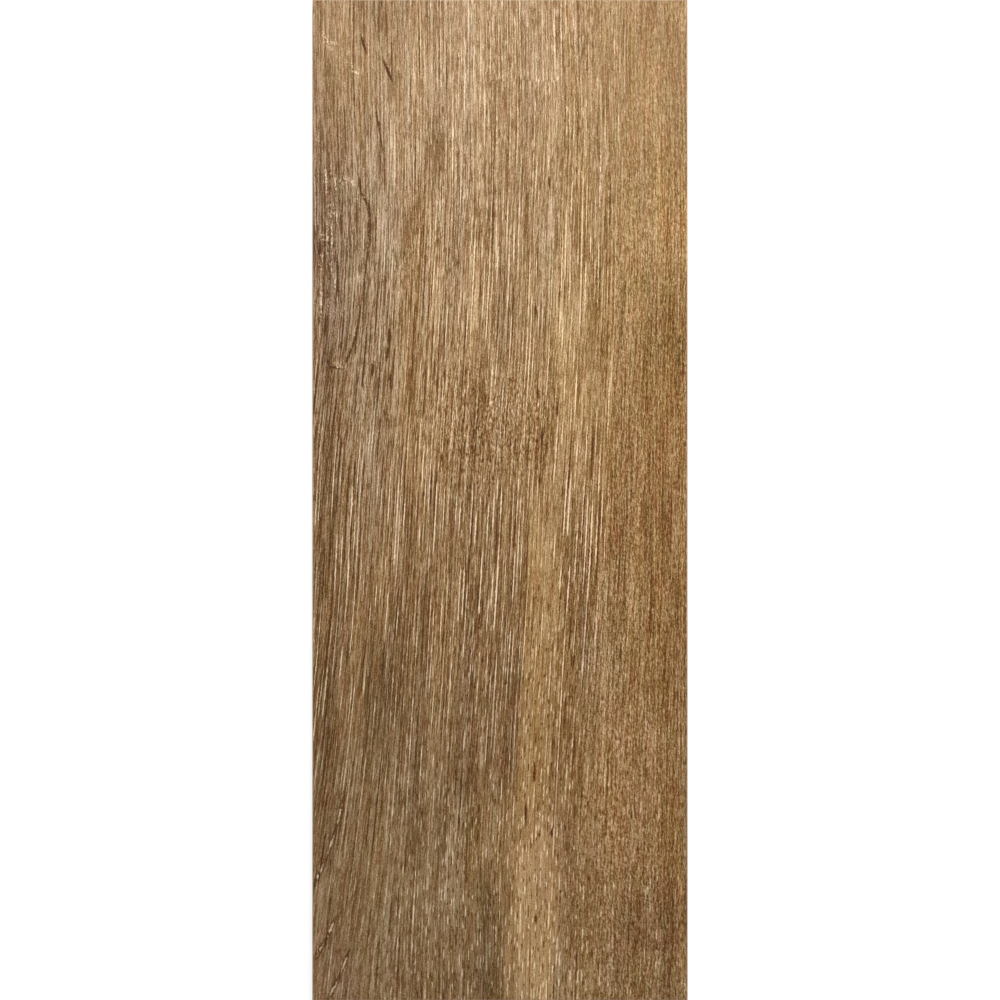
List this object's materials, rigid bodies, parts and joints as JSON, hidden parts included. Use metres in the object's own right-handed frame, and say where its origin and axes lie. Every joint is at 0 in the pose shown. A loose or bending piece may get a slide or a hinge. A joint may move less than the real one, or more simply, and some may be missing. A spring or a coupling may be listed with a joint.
{
  "type": "wood look porcelain plank tile",
  "caption": "Flat porcelain floor and wall plank tile with a wood-grain face, ground square edges with a fine bevel, and a recessed lattice back for adhesive.",
  "frame": {"origin": "middle of the back, on the plane that the back's ribs and rim lie in", "axes": "+X across the plank, +Y along the plank and its grain, +Z out of the printed face"},
  "size_m": [0.225, 0.6, 0.009],
  "materials": {
    "porcelain": "matt printed wood-grain glaze over a fired porcelain body, with a bare buff body on the sides and back"
  },
  "bodies": {
    "root": {"plank_tile": "porcelain"}
  },
  "joints": []
}
